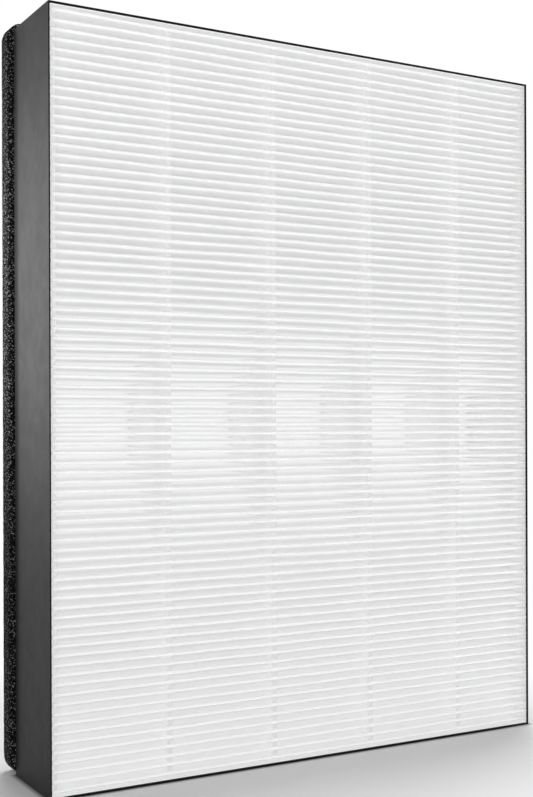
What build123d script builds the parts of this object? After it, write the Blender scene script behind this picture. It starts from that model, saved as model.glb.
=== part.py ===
from build123d import *
import os

# Air filter cassette, standing upright on its bottom edge.
# X runs along the face, Z is up, and the white face looks towards -Y.
# The origin is the middle of the footprint, on the surface that it stands on.

# Driving dimensions, in millimetres
frame_width = 282.0
frame_height = 360.0
frame_depth = 48.0
strip_thickness = 0.6

pleat_count = 82
media_thickness = 0.5
fold_flat = 0.5
tip_recess = 0.4
flap_recess = 2.0

side_glue_thickness = 0.3
side_glue_recess = 1.0
end_glue_thickness = 0.3

bead_width = 2.4
bead_recess = 0.9
bead_spacing = 57.8
bead_columns = 4
bead_shift = 5.5
edge_bead_width = 1.6
edge_bead_inset = 2.7

tape_thickness = 0.3
tape_inset = 0.4
seal_thickness = 12.0
seal_overhang = 3.0
seal_rise = 4.0
seal_run_width = 13.0
seal_corner_radius = 8.0
seal_inner_radius = 4.0
seal_edge_radius = 3.0

# Stations along the depth, from the front edge of the strips to the back of the seal
total_depth = frame_depth + tape_thickness + seal_thickness
front_y = -total_depth / 2
frame_back_y = front_y + frame_depth
seal_front_y = frame_back_y + tape_thickness

# The folded sheet: each fold is sharp inside and has a narrow flat nose outside
front_tip_y = front_y + tip_recess
back_tip_y = frame_back_y
front_crease_y = front_tip_y + media_thickness
back_crease_y = back_tip_y - media_thickness
flap_y = front_y + flap_recess
bottom_crease_z = strip_thickness + end_glue_thickness + media_thickness
top_crease_z = frame_height - bottom_crease_z
pitch = (top_crease_z - bottom_crease_z) / pleat_count
media_width = frame_width - 2 * (strip_thickness + side_glue_thickness)
inner_width = frame_width - 2 * strip_thickness

os.makedirs("parts", exist_ok=True)


def save(piece, name):
    piece.part.label = name
    export_step(piece.part, f"parts/{name}.step")


def plate(x_span, y_span, z_span):
    """A flat rectangular piece between three pairs of faces."""
    with BuildPart() as piece:
        middle = tuple((low + high) / 2 for low, high in (x_span, y_span, z_span))
        with Locations(middle):
            Box(x_span[1] - x_span[0], y_span[1] - y_span[0], z_span[1] - z_span[0])
    return piece


# Pleated media: one sheet folded to and fro, with a flap along the bottom and the top strip
with BuildPart() as pleated_media:
    with BuildSketch(Plane.YZ.offset(-media_width / 2)):
        with BuildLine():
            Line((flap_y, bottom_crease_z), (back_crease_y, bottom_crease_z))
            for pleat in range(pleat_count):
                tip_z = bottom_crease_z + (pleat + 0.5) * pitch
                Polyline(
                    (back_crease_y, tip_z - pitch / 2),
                    (front_crease_y, tip_z - media_thickness),
                    (front_tip_y, tip_z - fold_flat / 2),
                    (front_tip_y, tip_z + fold_flat / 2),
                    (front_crease_y, tip_z + media_thickness),
                    (back_crease_y, tip_z + pitch / 2),
                )
            Polyline(
                (back_crease_y, top_crease_z),
                (flap_y, top_crease_z),
                (flap_y, top_crease_z + media_thickness),
                (back_crease_y, top_crease_z + media_thickness),
            )
            for pleat in range(pleat_count, -1, -1):
                tip_z = bottom_crease_z + pleat * pitch
                Polyline(
                    (back_crease_y, tip_z + media_thickness),
                    (back_tip_y, tip_z + fold_flat / 2),
                    (back_tip_y, tip_z - fold_flat / 2),
                    (back_crease_y, tip_z - media_thickness),
                )
                if pleat > 0:
                    Polyline(
                        (back_crease_y, tip_z - media_thickness),
                        (front_crease_y, tip_z - pitch / 2),
                        (back_crease_y, tip_z - pitch + media_thickness),
                    )
            Polyline(
                (back_crease_y, bottom_crease_z - media_thickness),
                (flap_y, bottom_crease_z - media_thickness),
                (flap_y, bottom_crease_z),
            )
        make_face()
    extrude(amount=media_width)
save(pleated_media, "pleated_media")

# Glue beads: in every valley a wedge from just behind the fold tips down to the crease
valley_half_gap = pitch / 2 - media_thickness
valley_depth = back_crease_y - front_crease_y


def wedge_half_gap(depth_in_valley):
    return valley_half_gap * (1 - depth_in_valley / valley_depth)


def bead_column(x, width, mouth_y, crease_y, valleys):
    """One upright line of glue, standing as a wedge in each valley of one face of the pack."""
    half_gap = wedge_half_gap(bead_recess - media_thickness)
    with BuildPart() as column:
        with BuildSketch(Plane.YZ.offset(x - width / 2)):
            with Locations([(0, z) for z in valleys]):
                Polygon((crease_y, 0), (mouth_y, half_gap), (mouth_y, -half_gap), align=None)
        extrude(amount=width)
    return column


front_valleys = [bottom_crease_z + k * pitch for k in range(1, pleat_count)]
back_valleys = [bottom_crease_z + (k + 0.5) * pitch for k in range(pleat_count)]
inner_beads = [bead_shift + (k - (bead_columns - 1) / 2) * bead_spacing for k in range(bead_columns)]
edge_bead_x = frame_width / 2 - edge_bead_inset
beads = [(-edge_bead_x, edge_bead_width)]
beads += [(x, bead_width) for x in inner_beads]
beads += [(edge_bead_x, edge_bead_width)]

for number, (x, width) in enumerate(beads, start=1):
    front_bead = bead_column(x, width, front_tip_y + bead_recess, back_crease_y, front_valleys)
    save(front_bead, f"front_bead_{number}")
    back_bead = bead_column(x, width, back_tip_y - bead_recess, front_crease_y, back_valleys)
    save(back_bead, f"back_bead_{number}")

# Glue layers that hold the cut pleat ends and the two flaps to the strips
side_glue_x = (media_width / 2, inner_width / 2)
glue_y = (front_y + side_glue_recess, frame_back_y)
inner_z = (strip_thickness, frame_height - strip_thickness)
save(plate(side_glue_x, glue_y, inner_z), "right_side_glue")
save(plate((-side_glue_x[1], -side_glue_x[0]), glue_y, inner_z), "left_side_glue")

flap_span = (flap_y, back_crease_y)
media_x = (-media_width / 2, media_width / 2)
bottom_glue_z = (strip_thickness, strip_thickness + end_glue_thickness)
top_glue_z = (frame_height - bottom_glue_z[1], frame_height - bottom_glue_z[0])
save(plate(media_x, flap_span, bottom_glue_z), "bottom_flap_glue")
save(plate(media_x, flap_span, top_glue_z), "top_flap_glue")

# Edge strips: the side ones run the full height, the other two fit between them
strip_y = (front_y, frame_back_y)
side_x = (inner_width / 2, frame_width / 2)
across_x = (-inner_width / 2, inner_width / 2)
save(plate(side_x, strip_y, (0, frame_height)), "right_edge_strip")
save(plate((-side_x[1], -side_x[0]), strip_y, (0, frame_height)), "left_edge_strip")
save(plate(across_x, strip_y, (0, strip_thickness)), "bottom_edge_strip")
save(plate(across_x, strip_y, (frame_height - strip_thickness, frame_height)), "top_edge_strip")

# Foam seal and the tape under it: rings round the back, level with the strips at the bottom
seal_width = frame_width + 2 * seal_overhang
seal_height = frame_height + seal_rise
window_width = frame_width - 2 * (seal_run_width - seal_overhang)
window_height = seal_height - 2 * seal_run_width
seal_middle = (0, seal_height / 2)

with BuildPart() as seal_tape:
    with BuildSketch(Plane.XZ.offset(-frame_back_y)):
        with Locations((0, frame_height / 2)):
            Rectangle(frame_width - 2 * tape_inset, frame_height - 2 * tape_inset)
        with Locations(seal_middle):
            RectangleRounded(window_width, window_height, seal_inner_radius, mode=Mode.SUBTRACT)
    extrude(amount=-tape_thickness)
save(seal_tape, "seal_tape")

with BuildPart() as foam_seal:
    with BuildSketch(Plane.XZ.offset(-seal_front_y)):
        with Locations(seal_middle):
            RectangleRounded(seal_width, seal_height, seal_corner_radius)
            RectangleRounded(window_width, window_height, seal_inner_radius, mode=Mode.SUBTRACT)
    extrude(amount=-seal_thickness)
    back_face = foam_seal.faces().sort_by(Axis.Y)[-1]
    fillet(back_face.outer_wire().edges(), seal_edge_radius)
save(foam_seal, "foam_seal")
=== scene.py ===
import math

import bmesh
import bpy
from mathutils import Matrix, Vector


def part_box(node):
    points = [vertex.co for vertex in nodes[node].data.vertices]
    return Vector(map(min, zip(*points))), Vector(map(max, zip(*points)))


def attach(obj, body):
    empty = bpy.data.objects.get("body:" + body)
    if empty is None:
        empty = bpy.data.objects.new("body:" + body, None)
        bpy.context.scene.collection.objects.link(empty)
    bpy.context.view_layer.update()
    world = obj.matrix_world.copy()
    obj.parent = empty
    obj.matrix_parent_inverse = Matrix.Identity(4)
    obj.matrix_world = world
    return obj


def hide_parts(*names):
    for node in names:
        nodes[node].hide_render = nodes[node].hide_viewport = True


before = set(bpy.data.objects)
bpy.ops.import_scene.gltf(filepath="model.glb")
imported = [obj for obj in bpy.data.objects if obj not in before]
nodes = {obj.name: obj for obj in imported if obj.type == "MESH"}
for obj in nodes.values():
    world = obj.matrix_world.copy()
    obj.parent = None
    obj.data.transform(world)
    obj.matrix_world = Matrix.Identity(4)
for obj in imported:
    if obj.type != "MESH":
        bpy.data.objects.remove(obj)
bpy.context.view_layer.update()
print("frame loaded:", len(nodes), "nodes")

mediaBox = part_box("pleated_media")
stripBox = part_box("left_edge_strip")

black = (0.0, 0.0, 0.0, 1.0)
white = (1.0, 1.0, 1.0, 1.0)
noiseMiddle = 0.5   # the values of a noise node lie round this


# Helpers for node trees

class NodeKit:   # adds nodes to a tree and links them, one call for each node
    def __init__(self, tree):
        self.tree = tree

    def add(self, kind, inputs=None, **settings):
        node = self.tree.nodes.new(kind)
        for name, value in settings.items():
            setattr(node, name, value)
        for key, value in (inputs or {}).items():
            self.feed(node.inputs[key], value)
        return node

    def feed(self, socket, value):
        if isinstance(value, bpy.types.NodeSocket):
            self.tree.links.new(value, socket)
        else:
            socket.default_value = value

    def math(self, operation, a, b=0.0):
        return self.add("ShaderNodeMath", {0: a, 1: b}, operation=operation).outputs[0]

    def vector(self, operation, a, b=(0.0, 0.0, 0.0)):
        return self.add("ShaderNodeVectorMath", {0: a, 1: b}, operation=operation).outputs[0]

    def scaled(self, vector, factor):
        return self.add("ShaderNodeVectorMath", {0: vector, "Scale": factor}, operation="SCALE").outputs[0]

    def length(self, vector):
        return self.add("ShaderNodeVectorMath", {0: vector}, operation="LENGTH").outputs["Value"]

    def joined(self, **axes):
        return self.add("ShaderNodeCombineXYZ", axes).outputs[0]

    def split(self, vector):
        return self.add("ShaderNodeSeparateXYZ", {0: vector}).outputs

    def mix(self, factor, a, b):
        node = self.add("ShaderNodeMix", data_type="RGBA")
        self.feed(node.inputs["Factor"], factor)
        self.feed(node.inputs[6], a)
        self.feed(node.inputs[7], b)
        return node.outputs[2]

    def ramp(self, value, low, high, toLow=0.0, toHigh=1.0):
        inputs = {"Value": value, "From Min": low, "From Max": high, "To Min": toLow, "To Max": toHigh}
        return self.add("ShaderNodeMapRange", inputs).outputs["Result"]


def newGroup(name, treeType, inputs, outputs):
    tree = bpy.data.node_groups.new(name, treeType)
    for label, kind, value in inputs:
        socket = tree.interface.new_socket(label, in_out="INPUT", socket_type=kind)
        if value is not None:
            socket.default_value = value
    for label, kind in outputs:
        tree.interface.new_socket(label, in_out="OUTPUT", socket_type=kind)
    kit = NodeKit(tree)
    source = kit.add("NodeGroupInput")
    result = kit.add("NodeGroupOutput")
    return tree, kit, source.outputs, result.inputs


def newMaterial(name):
    material = bpy.data.materials.new(name)
    material.use_nodes = True
    tree = material.node_tree
    shader = tree.nodes["Principled BSDF"]
    kit = NodeKit(tree)
    place = kit.add("ShaderNodeTexCoord").outputs["Object"]
    return material, kit, shader, place


def setFinish(shader, roughness, shine):
    shader.inputs["Roughness"].default_value = roughness
    shader.inputs["Specular IOR Level"].default_value = shine


def paintGlow(kit, shader, share, colour, strength):   # painted glow on a part that is no lamp; share: how much of it each point gives off
    kit.feed(shader.inputs["Emission Color"], kit.mix(share, black, colour))
    shader.inputs["Emission Strength"].default_value = strength


def relief(kit, height, bump, under=None):   # bump: strength and distance; under: the relief below this one
    strength, distance = bump
    inputs = {"Strength": strength, "Distance": distance, "Height": height}
    if under is not None:
        inputs["Normal"] = under
    return kit.add("ShaderNodeBump", inputs).outputs[0]


# Shader group that the media, the glue, the strips and the tape use

def makeFineGrain():   # small even grain, at a size given in metres
    inputs = [("Place", "NodeSocketVector", None), ("Size", "NodeSocketFloat", 0.001),
              ("Stretch", "NodeSocketVector", (1.0, 1.0, 1.0)), ("Detail", "NodeSocketFloat", 3.0)]
    tree, kit, source, result = newGroup(
        "fineGrain", "ShaderNodeTree", inputs, [("Mask", "NodeSocketFloat")])
    stretched = kit.vector("DIVIDE", source["Place"], source["Stretch"])
    scale = kit.math("DIVIDE", 1.0, source["Size"])
    noise = kit.add("ShaderNodeTexNoise", {"Vector": stretched, "Scale": scale, "Detail": source["Detail"]})
    kit.feed(result["Mask"], noise.outputs["Fac"])
    return tree


fineGrain = makeFineGrain()


def grain(kit, place, size, stretch=(1.0, 1.0, 1.0), detail=3.0):
    node = kit.add("ShaderNodeGroup")
    node.node_tree = fineGrain
    kit.feed(node.inputs["Place"], place)
    node.inputs["Size"].default_value = size
    node.inputs["Stretch"].default_value = stretch
    node.inputs["Detail"].default_value = detail
    return node.outputs["Mask"]


# Materials

media = {
    "white": (0.93, 0.93, 0.93, 1.0),
    "shade": (0.89, 0.89, 0.895, 1.0),
    "toneRange": (0.35, 0.65),      # the part of the grain that goes from shade to white
    "roughness": 0.9,
    "shine": 0.2,
    "paintedGlow": 0.187,  # painted glow that lightens the sheet deep in a valley, on a part that is no lamp
    "shareAtFolds": 0.85,   # share of it at the mouth of a valley
    "leastShare": 0.53,
    "leastDepth": 0.0095,   # where the least share is, behind the mouth
    "deep": 0.021,          # from here on all of it
    "fibreSize": 0.0004,
    "fibreStretch": (2.5, 1.0, 1.0),
    "fibreShare": 0.3,
    "fibreBump": (0.25, 0.0001),
    "streakSize": 0.0012,
    "streakStretch": (45.0, 1.0, 1.0),
    "streakDetail": 4.0,
    "streakShare": 0.7,
    "streakBump": (0.35, 0.0004),
}


def paintedValleyGlow(kit, place):   # share of the painted glow, by depth in a point's own valley
    towards = kit.add("ShaderNodeNewGeometry").outputs["True Normal"]
    facesBack = kit.math("GREATER_THAN", kit.split(towards)["Y"], 0.0)
    y = kit.split(place)["Y"]
    behindFront = kit.math("SUBTRACT", y, mediaBox[0][1])
    behindBack = kit.math("SUBTRACT", mediaBox[1][1], y)
    choice = kit.add("ShaderNodeMix", {0: facesBack, 2: behindFront, 3: behindBack}, data_type="FLOAT")
    depth = choice.outputs[0]
    nearMouth = kit.ramp(depth, 0.0, media["leastDepth"], media["shareAtFolds"], media["leastShare"])
    deepDown = kit.ramp(depth, media["leastDepth"], media["deep"], media["leastShare"], 1.0)
    return kit.math("MAXIMUM", nearMouth, deepDown)


def makeMediaMaterial():
    material, kit, shader, place = newMaterial("whiteMedia")
    streaks = grain(kit, place, media["streakSize"], media["streakStretch"], media["streakDetail"])
    fibres = grain(kit, place, media["fibreSize"], media["fibreStretch"])
    streakPart = kit.math("MULTIPLY", streaks, media["streakShare"])
    fibrePart = kit.math("MULTIPLY", fibres, media["fibreShare"])
    tone = kit.ramp(kit.math("ADD", streakPart, fibrePart), *media["toneRange"])
    kit.feed(shader.inputs["Base Color"], kit.mix(tone, media["shade"], media["white"]))
    setFinish(shader, media["roughness"], media["shine"])
    # painted glow, which lightens the valleys
    paintGlow(kit, shader, paintedValleyGlow(kit, place), media["white"], media["paintedGlow"])
    coarse = relief(kit, streaks, media["streakBump"])
    kit.feed(shader.inputs["Normal"], relief(kit, fibres, media["fibreBump"], coarse))
    return material


glue = {
    "white": (0.68, 0.68, 0.675, 1.0),
    "dull": (0.6, 0.6, 0.595, 1.0),
    "blotch": 0.004,
    "blotchRange": (0.3, 0.7),
    "roughness": (0.3, 0.48),   # least and most
    "paintedGlow": 0.38,   # painted glow, strongest on the sides of a bead, which lie between two thin sheets
    "mouthShare": 0.5,      # share of it on the rest
    "grain": 0.0015,
    "bump": (0.5, 0.0005),
}


def makeGlueMaterial():
    material, kit, shader, place = newMaterial("hotMeltGlue")
    blotches = grain(kit, place, glue["blotch"])
    kit.feed(shader.inputs["Base Color"], kit.mix(blotches, glue["dull"], glue["white"]))
    kit.feed(shader.inputs["Roughness"], kit.ramp(blotches, *glue["blotchRange"], *glue["roughness"]))
    # painted glow: more of it where the glue faces sideways
    towards = kit.add("ShaderNodeNewGeometry").outputs["True Normal"]
    sideways = kit.math("ABSOLUTE", kit.split(towards)["X"])
    share = kit.ramp(sideways, 0.0, 1.0, glue["mouthShare"], 1.0)
    paintGlow(kit, shader, share, glue["white"], glue["paintedGlow"])
    kit.feed(shader.inputs["Normal"], relief(kit, grain(kit, place, glue["grain"]), glue["bump"]))
    return material


strip = {
    "colour": (0.019, 0.019, 0.020, 1.0),
    "light": (0.026, 0.026, 0.027, 1.0),
    "cutEdge": (0.006, 0.006, 0.006, 1.0),
    "cutDepth": 0.00025,    # how far behind the front the dark of the cut edge reaches
    "cutRoughness": 0.9,
    "cloud": 0.02,
    "cloudStretch": (1.0, 1.0, 2.0),
    "cloudDetail": 4.0,
    "satin": 0.006,
    "grainRange": (0.3, 0.7),
    "roughness": (0.5, 0.56),   # least and most
    "shine": 0.08,
    "grain": 0.0005,
    "bump": (0.12, 0.0001),
}


def makeStripMaterial():
    material, kit, shader, place = newMaterial("darkStrip")
    clouds = grain(kit, place, strip["cloud"], strip["cloudStretch"], strip["cloudDetail"])
    face = kit.mix(kit.ramp(clouds, *strip["grainRange"]), strip["colour"], strip["light"])
    behindFront = kit.math("SUBTRACT", kit.split(place)["Y"], stripBox[0][1])
    cut = kit.math("LESS_THAN", behindFront, strip["cutDepth"])
    kit.feed(shader.inputs["Base Color"], kit.mix(cut, face, strip["cutEdge"]))
    satin = kit.ramp(grain(kit, place, strip["satin"]), *strip["grainRange"], *strip["roughness"])
    dull = kit.math("MULTIPLY", cut, strip["cutRoughness"])
    kit.feed(shader.inputs["Roughness"], kit.math("MAXIMUM", satin, dull))
    shader.inputs["Specular IOR Level"].default_value = strip["shine"]
    kit.feed(shader.inputs["Normal"], relief(kit, grain(kit, place, strip["grain"]), strip["bump"]))
    return material


foam = {
    "pore": (0.004, 0.004, 0.004, 1.0),
    # painted glint: the bright colour of a few struts stands in for their highlights
    "strutGlint": (0.34, 0.34, 0.34, 1.0),
    "cell": 0.0009,
    "strutRange": (0.05, 0.25),     # distance from a cell's edge over which its strut fades, in cells
    "poreShare": 0.1,       # share of the painted glint colour left in the pores
    "speck": 0.0005,        # one painted glint of a strut
    "speckRange": (0.76, 0.96),     # few of the specks get a painted glint
    "roughness": 0.9,
    "shine": 0.05,
    "bump": (1.0, 0.0005),
    "merge": 0.000001,
    "voxel": 0.0011,
    "skinCell": 0.0018,     # a dent in the skin
    "skinDepth": 0.0002,
    "skinReach": 0.75,      # how far a dent reaches from its middle, in skin cells
    "lumpScale": 0.35,
}


def makeFoamMaterial():
    material, kit, shader, place = newMaterial("openCellFoam")
    cells = kit.add("ShaderNodeTexVoronoi", {"Vector": place, "Scale": 1.0 / foam["cell"]},
                    feature="DISTANCE_TO_EDGE")
    struts = kit.ramp(cells.outputs["Distance"], *foam["strutRange"], 1.0, foam["poreShare"])
    specks = kit.add("ShaderNodeTexVoronoi", {"Vector": place, "Scale": 1.0 / foam["speck"]})
    chance = kit.add("ShaderNodeSeparateColor", {0: specks.outputs["Color"]}).outputs[0]
    # painted glints: bright struts in the base colour stand in for highlights
    paintedGlints = kit.math("MULTIPLY", struts, kit.ramp(chance, *foam["speckRange"]))
    kit.feed(shader.inputs["Base Color"], kit.mix(paintedGlints, foam["pore"], foam["strutGlint"]))
    setFinish(shader, foam["roughness"], foam["shine"])
    kit.feed(shader.inputs["Normal"], relief(kit, paintedGlints, foam["bump"]))
    return material


tape = {
    "dark": (0.006, 0.006, 0.006, 1.0),
    "pale": (0.018, 0.018, 0.018, 1.0),
    "weave": 0.0006,
    "weaveStretch": (3.0, 1.0, 3.0),
    "roughness": 0.7,
}


def makeTapeMaterial():
    material, kit, shader, place = newMaterial("blackTape")
    weave = grain(kit, place, tape["weave"], tape["weaveStretch"])
    kit.feed(shader.inputs["Base Color"], kit.mix(weave, tape["dark"], tape["pale"]))
    shader.inputs["Roughness"].default_value = tape["roughness"]
    return material


mediaMaterial = makeMediaMaterial()
glueMaterial = makeGlueMaterial()
stripMaterial = makeStripMaterial()
foamMaterial = makeFoamMaterial()
tapeMaterial = makeTapeMaterial()
print("materials made")


def dress(node, material):
    piece = nodes[node]
    piece.data.materials.clear()
    piece.data.materials.append(material)


for node in nodes:
    if "glue" in node or "bead" in node:
        dress(node, glueMaterial)
    elif node.endswith("edge_strip"):
        dress(node, stripMaterial)
dress("seal_tape", tapeMaterial)


# Geometry helpers

def newPiece(name, mesh):
    piece = bpy.data.objects.new(name, mesh)
    bpy.context.scene.collection.objects.link(piece)
    return piece


def bake(piece):   # turns what the modifiers make into the piece's own plain mesh
    graph = bpy.context.evaluated_depsgraph_get()
    graph.update()
    made = bpy.data.meshes.new_from_object(piece.evaluated_get(graph))
    old = piece.data
    piece.modifiers.clear()
    piece.data = made
    bpy.data.meshes.remove(old)
    piece.data.name = piece.name


def setInputs(modifier, values):
    for item in modifier.node_group.interface.items_tree:
        if item.item_type == "SOCKET" and item.in_out == "INPUT" and item.name in values:
            modifier[item.identifier] = values[item.name]


# Pleated media: one fold is drawn, then repeated up the pack and let wander between the glue lines

pleats = {
    "count": 82,
    "sheet": 0.0004,        # thickness
    "noseHalf": 0.0007,     # half height of a fold, to the middle of the sheet
    "noseDepth": 0.001,     # how far behind its tip the fold reaches that height
    "noseSteps": 4,
    "wallSteps": 2,
    "columns": 28,
    "endGap": 0.0001,       # between the cut ends and the side glue
    "glueUnderFlap": 0.0014,    # from the outside of the frame to the first crease
    "glueSpacing": 0.0578,
    "glueShift": 0.0055,
    "wander": 0.0014,       # from the lowest to the highest bow of a free stretch of a fold
    "bowPattern": (3.7, 12.0, 170.0),       # how fast the bow changes by stretch, depth and height
    "bowDetail": 1.0,
    "ripple": 0.0003,
    "ripplePattern": (55.0, 14.0, 150.0),   # how fast the ripple changes along each axis
    "rippleShare": (0.0, 0.6, 2.0),         # how much of it each axis takes
    "rippleDetail": 2.0,
    "seed": 3.0,
    "seedStep": 7.0,        # from the bow's seed to the ripple's
    "merge": 0.00001,
}


def foldOutline(pitch, frontY, backY):   # middle line of one pleat, from back fold to back fold
    half, depth, steps = pleats["noseHalf"], pleats["noseDepth"], pleats["noseSteps"]
    frontCentre = frontY + depth
    backCentre = backY - depth
    points = []
    for k in range(steps + 1):   # half of the back fold, from its nose outwards
        turn = math.pi / 2 * k / steps
        points.append((backCentre + depth * math.cos(turn), -pitch / 2 + half * math.sin(turn)))
    nose = []
    for k in range(2 * steps + 1):
        turn = -math.pi / 2 + math.pi * k / (2 * steps)
        nose.append((frontCentre - depth * math.cos(turn), half * math.sin(turn)))
    wall = pleats["wallSteps"]
    start, end = points[-1], nose[0]
    for k in range(1, wall):
        share = k / wall
        points.append((start[0] + (end[0] - start[0]) * share, start[1] + (end[1] - start[1]) * share))
    points += nose
    points += [(y, -z) for y, z in reversed(points[: steps + wall])]
    return points


def foldMesh(outline, lowX, highX, columns):
    mesh = bpy.data.meshes.new("fold")
    shape = bmesh.new()
    rows = []
    for k in range(columns + 1):
        x = lowX + (highX - lowX) * k / columns
        rows.append([shape.verts.new((x, y, z)) for y, z in outline])
    for left, right in zip(rows, rows[1:]):
        for k in range(len(outline) - 1):
            shape.faces.new((left[k], right[k], right[k + 1], left[k + 1]))
    shape.to_mesh(mesh)
    shape.free()
    return mesh


def bowOfStretches(kit, source, axes):   # each free stretch of a fold bows up or down by its own amount
    along = kit.math("DIVIDE", kit.math("SUBTRACT", axes["X"], source["Glue Shift"]), source["Glue Spacing"])
    free = kit.math("ABSOLUTE", kit.math("SINE", kit.math("MULTIPLY", along, math.pi)))
    stretch = kit.joined(X=kit.math("FLOOR", along), Y=axes["Y"], Z=axes["Z"])
    noise = kit.add(
        "ShaderNodeTexNoise",
        {"Vector": kit.vector("MULTIPLY", stretch, pleats["bowPattern"]), "W": source["Seed"],
         "Scale": 1.0, "Detail": pleats["bowDetail"]},
        noise_dimensions="4D").outputs["Fac"]
    bow = kit.math("MULTIPLY", kit.math("SUBTRACT", noise, noiseMiddle), free)
    return kit.joined(Z=kit.math("MULTIPLY", bow, source["Wander"]))


def rippleOfSheet(kit, source, place):
    noise = kit.add(
        "ShaderNodeTexNoise",
        {"Vector": kit.vector("MULTIPLY", place, pleats["ripplePattern"]),
         "W": kit.math("ADD", source["Seed"], pleats["seedStep"]),
         "Scale": 1.0, "Detail": pleats["rippleDetail"]},
        noise_dimensions="4D").outputs["Color"]
    wave = kit.vector("SUBTRACT", noise, (noiseMiddle, noiseMiddle, noiseMiddle))
    return kit.scaled(kit.vector("MULTIPLY", wave, pleats["rippleShare"]), source["Ripple"])


def makePleatTree():
    inputs = [("Fold", "NodeSocketGeometry", None), ("Pleats", "NodeSocketInt", 82),
              ("Pitch", "NodeSocketFloat", 0.004), ("First Fold", "NodeSocketFloat", 0.003),
              ("Wander", "NodeSocketFloat", 0.0004), ("Ripple", "NodeSocketFloat", 0.0001),
              ("Glue Spacing", "NodeSocketFloat", 0.05), ("Glue Shift", "NodeSocketFloat", 0.0),
              ("Seed", "NodeSocketFloat", 1.0), ("Finish", "NodeSocketMaterial", None)]
    tree, kit, source, result = newGroup(
        "pleatPack", "GeometryNodeTree", inputs, [("Pack", "NodeSocketGeometry")])
    line = kit.add(
        "GeometryNodeMeshLine",
        {"Count": source["Pleats"], "Start Location": kit.joined(Z=source["First Fold"]),
         "Offset": kit.joined(Z=source["Pitch"])},
        mode="OFFSET")
    copies = kit.add("GeometryNodeInstanceOnPoints", {"Points": line.outputs[0], "Instance": source["Fold"]})
    real = kit.add("GeometryNodeRealizeInstances", {"Geometry": copies.outputs[0]})
    sheet = kit.add("GeometryNodeMergeByDistance",
                    {"Geometry": real.outputs[0], "Distance": pleats["merge"]})
    place = kit.add("GeometryNodeInputPosition").outputs[0]
    bow = bowOfStretches(kit, source, kit.split(place))
    ripple = rippleOfSheet(kit, source, place)
    moved = kit.add("GeometryNodeSetPosition",
                    {"Geometry": sheet.outputs[0], "Offset": kit.vector("ADD", ripple, bow)})
    painted = kit.add("GeometryNodeSetMaterial",
                      {"Geometry": moved.outputs[0], "Material": source["Finish"]})
    kit.feed(result["Pack"], painted.outputs[0])
    return tree


def makePleatedMedia():
    low, high = mediaBox
    half = pleats["sheet"] / 2
    bottomCrease = stripBox[0][2] + pleats["glueUnderFlap"]
    topCrease = stripBox[1][2] - pleats["glueUnderFlap"]
    pitch = (topCrease - bottomCrease) / pleats["count"]
    outline = foldOutline(pitch, low[1] + half, high[1] - half)
    mesh = foldMesh(outline, low[0] + pleats["endGap"], high[0] - pleats["endGap"], pleats["columns"])
    piece = newPiece("pleatedMedia", mesh)
    repeat = piece.modifiers.new("pleats", "NODES")
    repeat.node_group = makePleatTree()
    setInputs(repeat, {
        "Pleats": pleats["count"], "Pitch": pitch, "First Fold": bottomCrease + pitch / 2,
        "Wander": pleats["wander"], "Ripple": pleats["ripple"], "Glue Spacing": pleats["glueSpacing"],
        "Glue Shift": pleats["glueShift"], "Seed": pleats["seed"], "Finish": mediaMaterial})
    solid = piece.modifiers.new("sheet", "SOLIDIFY")
    solid.thickness = pleats["sheet"]
    solid.offset = 0.0
    bake(piece)
    for polygon in piece.data.polygons:
        polygon.use_smooth = True
    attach(piece, "root")
    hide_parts("pleated_media")
    return piece


mediaPiece = makePleatedMedia()
print("pleated media:", len(mediaPiece.data.polygons), "faces")


flap = {
    "thickness": pleats["sheet"],
    "glueGap": 0.00002,     # between the flap and the glue that holds it
    "endGap": 0.0002,
    "frontInset": 0.0003,
    "bevel": 0.0001,
    "bevelSteps": 2,
}


def makeFlap(name, lowZ, highZ):
    low, high = mediaBox
    frontY = low[1] + flap["frontInset"]
    mesh = bpy.data.meshes.new(name)
    shape = bmesh.new()
    bmesh.ops.create_cube(shape, size=1.0)
    size = Vector((high[0] - low[0] - 2 * flap["endGap"], high[1] - frontY, highZ - lowZ))
    middle = Vector((0.0, (frontY + high[1]) / 2, (lowZ + highZ) / 2))
    bmesh.ops.scale(shape, vec=size, verts=shape.verts)
    bmesh.ops.translate(shape, vec=middle, verts=shape.verts)
    bmesh.ops.bevel(shape, geom=shape.edges[:], offset=flap["bevel"], segments=flap["bevelSteps"],
                    affect="EDGES")
    shape.to_mesh(mesh)
    shape.free()
    piece = newPiece(name, mesh)
    piece.data.materials.append(mediaMaterial)
    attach(piece, "root")


mediaBottom, mediaTop = mediaBox[0][2], mediaBox[1][2]
makeFlap("bottomFlap", mediaBottom + flap["glueGap"], mediaBottom + flap["thickness"])
makeFlap("topFlap", mediaTop - flap["thickness"], mediaTop - flap["glueGap"])


# Foam seal: the ring remeshed evenly, then its skin broken up by open cells

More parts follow.
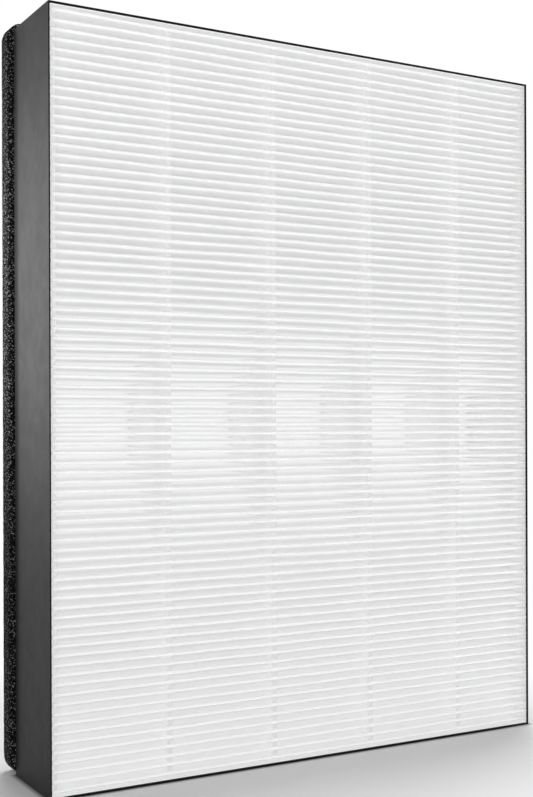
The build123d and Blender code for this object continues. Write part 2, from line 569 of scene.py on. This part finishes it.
def makeFoamTree():
    inputs = [("Block", "NodeSocketGeometry", None), ("Cell", "NodeSocketFloat", 0.001),
              ("Depth", "NodeSocketFloat", 0.0004), ("Finish", "NodeSocketMaterial", None)]
    tree, kit, source, result = newGroup(
        "foamSkin", "GeometryNodeTree", inputs, [("Foam", "NodeSocketGeometry")])
    place = kit.add("GeometryNodeInputPosition").outputs[0]
    normal = kit.add("GeometryNodeInputNormal").outputs[0]
    scale = kit.math("DIVIDE", 1.0, source["Cell"])
    lumpScale = kit.math("MULTIPLY", scale, foam["lumpScale"])
    cells = kit.add("ShaderNodeTexVoronoi", {"Vector": place, "Scale": scale}).outputs["Distance"]
    lumps = kit.add("ShaderNodeTexNoise", {"Vector": place, "Scale": lumpScale}).outputs["Fac"]
    dent = kit.math("MULTIPLY", kit.math("SUBTRACT", foam["skinReach"], cells), source["Depth"])
    swell = kit.math("MULTIPLY", kit.math("SUBTRACT", lumps, noiseMiddle), source["Depth"])
    depth = kit.math("MAXIMUM", kit.math("ADD", dent, swell), 0.0)
    inwards = kit.scaled(normal, kit.math("MULTIPLY", depth, -1.0))
    moved = kit.add("GeometryNodeSetPosition", {"Geometry": source["Block"], "Offset": inwards})
    painted = kit.add("GeometryNodeSetMaterial",
                      {"Geometry": moved.outputs[0], "Material": source["Finish"]})
    kit.feed(result["Foam"], painted.outputs[0])
    return tree


def makeFoamSeal():
    mesh = nodes["foam_seal"].data.copy()
    shape = bmesh.new()
    shape.from_mesh(mesh)
    bmesh.ops.remove_doubles(shape, verts=shape.verts, dist=foam["merge"])
    shape.to_mesh(mesh)
    shape.free()
    piece = newPiece("foamSeal", mesh)
    remesh = piece.modifiers.new("even", "REMESH")
    remesh.mode = "VOXEL"
    remesh.voxel_size = foam["voxel"]
    skin = piece.modifiers.new("cells", "NODES")
    skin.node_group = makeFoamTree()
    setInputs(skin, {"Cell": foam["skinCell"], "Depth": foam["skinDepth"], "Finish": foamMaterial})
    bake(piece)
    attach(piece, "root")
    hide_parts("foam_seal")
    return piece


foamPiece = makeFoamSeal()
print("foam seal:", len(foamPiece.data.polygons), "faces")


# Floor, lights and camera

stage = {
    "floorSize": 12.0,
    "floorDrop": 0.00005,
    "floorColour": (0.87, 0.87, 0.87, 1.0),
    "floorRoughness": 0.6,
    "floorShine": 0.2,
    "keptMiddle": (-0.01, 0.05, 0.0),   # the floor keeps its shadow on this patch, and is white beyond it
    "keptHalf": (0.13, 0.10, 1.0),
    "fade": 0.13,
    "contact": 0.0032,      # width of the painted contact shadow, a dark line where the strips stand on the floor
    "contactShade": 0.04,
    "worldStrength": 0.22,
}


def beyondBox(kit, place, middle, half):   # distance from a box with this middle and these half sizes
    away = kit.vector("ABSOLUTE", kit.vector("SUBTRACT", place, middle))
    beyond = kit.vector("MAXIMUM", kit.vector("SUBTRACT", away, half), (0.0, 0.0, 0.0))
    return kit.length(beyond)


def whiteRays(kit):   # the rays that see the background as plain white
    light = kit.add("ShaderNodeLightPath").outputs
    seen = kit.math("MAXIMUM", light["Is Camera Ray"], light["Is Transmission Ray"])
    return kit.math("MAXIMUM", seen, light["Is Glossy Ray"])


def makeFloor():
    mesh = bpy.data.meshes.new("floor")
    half = stage["floorSize"] / 2
    corners = [(-half, -half, 0), (half, -half, 0), (half, half, 0), (-half, half, 0)]
    mesh.from_pydata(corners, [], [(0, 1, 2, 3)])
    floor = bpy.data.objects.new("floor", mesh)
    bpy.context.scene.collection.objects.link(floor)
    floor.location.z = -stage["floorDrop"]
    material, kit, shader, place = newMaterial("paleFloor")
    footMiddle = (0.0, (stripBox[0][1] + stripBox[1][1]) / 2, 0.0)
    footHalf = (-stripBox[0][0], (stripBox[1][1] - stripBox[0][1]) / 2, 1.0)
    # painted contact shadow: the floor colour darkens towards the footprint of the strips
    gap = beyondBox(kit, place, footMiddle, footHalf)
    shade = kit.ramp(gap, 0.0, stage["contact"], stage["contactShade"], 1.0)
    kit.feed(shader.inputs["Base Color"], kit.mix(shade, black, stage["floorColour"]))
    setFinish(shader, stage["floorRoughness"], stage["floorShine"])
    away = beyondBox(kit, place, stage["keptMiddle"], stage["keptHalf"])
    fade = kit.math("MULTIPLY", kit.ramp(away, 0.0, stage["fade"]), whiteRays(kit))
    plain = kit.add("ShaderNodeEmission", {"Color": white, "Strength": 1.0})
    blend = kit.add("ShaderNodeMixShader", {0: fade, 1: shader.outputs[0], 2: plain.outputs[0]})
    kit.feed(material.node_tree.nodes["Material Output"].inputs["Surface"], blend.outputs[0])
    mesh.materials.append(material)


def makeWorld():
    world = bpy.data.worlds.new("studio")
    world.use_nodes = True
    bpy.context.scene.world = world
    kit = NodeKit(world.node_tree)
    strength = kit.ramp(whiteRays(kit), 0.0, 1.0, stage["worldStrength"], 1.0)
    background = world.node_tree.nodes["Background"]
    background.inputs["Color"].default_value = white
    kit.feed(background.inputs["Strength"], strength)


softboxes = {
    "frontSoftbox": {
        "place": (-0.5, -2.2, 0.38), "target": (0.0, 0.0, 0.18), "size": (2.2, 1.0), "power": 32.5},
    "backSoftbox": {
        "place": (0.7, 0.88, 1.57), "target": (0.0, 0.0, 0.0), "size": (1.2, 1.0), "power": 21.5},
    "sideSoftbox": {
        "place": (-0.6, 0.95, 0.33), "target": (-0.14, 0.0, 0.2), "size": (0.3, 0.42), "power": 3.0},
}

sideSpot = {   # makes the soft highlight half way up the left strip
    "place": (-0.95, 0.05, 0.30),
    "target": (-0.141, -0.006, 0.245),
    "angle": 17.0,
    "blend": 1.0,
    "radius": 0.05,
    "power": 61.0,
}


def hangLamp(light, values):
    light.energy = values["power"]
    lamp = bpy.data.objects.new(light.name, light)
    bpy.context.scene.collection.objects.link(lamp)
    lamp.location = values["place"]
    aim = Vector(values["target"]) - Vector(values["place"])
    lamp.rotation_euler = aim.to_track_quat("-Z", "Y").to_euler()


def makeLamps():
    for name, values in softboxes.items():
        light = bpy.data.lights.new(name, "AREA")
        light.shape = "RECTANGLE"
        light.size, light.size_y = values["size"]
        hangLamp(light, values)
    light = bpy.data.lights.new("sideSpot", "SPOT")
    light.spot_size = math.radians(sideSpot["angle"])
    light.spot_blend = sideSpot["blend"]
    light.shadow_soft_size = sideSpot["radius"]
    hangLamp(light, sideSpot)


camera = {
    "place": (-0.33444, -0.56009, 0.16839),   # the face is at the front of the frame
    "yaw": 29.9936,
    "roll": -0.1816,
    "lens": 55.8827,
    "sensorHeight": 36.0,
    "shift": 0.03410,
    "clipStart": 0.01,
}


def makeCamera():
    data = bpy.data.cameras.new("camera")
    data.sensor_fit = "VERTICAL"
    data.sensor_height = camera["sensorHeight"]
    data.lens = camera["lens"]
    data.shift_y = camera["shift"]
    data.clip_start = camera["clipStart"]
    eye = bpy.data.objects.new("camera", data)
    bpy.context.scene.collection.objects.link(eye)
    yaw = math.radians(camera["yaw"])
    roll = math.radians(camera["roll"])
    ahead = Vector((math.sin(yaw), math.cos(yaw), 0.0))
    level = Vector((math.cos(yaw), -math.sin(yaw), 0.0))
    right = level * math.cos(roll) + Vector((0.0, 0.0, 1.0)) * math.sin(roll)
    up = right.cross(ahead)
    turn = Matrix((right, up, -ahead)).transposed().to_4x4()
    eye.matrix_world = Matrix.Translation(camera["place"]) @ turn
    bpy.context.scene.camera = eye


makeFloor()
makeWorld()
makeLamps()
makeCamera()
bpy.context.scene.view_settings.view_transform = "Standard"
print("stage set")
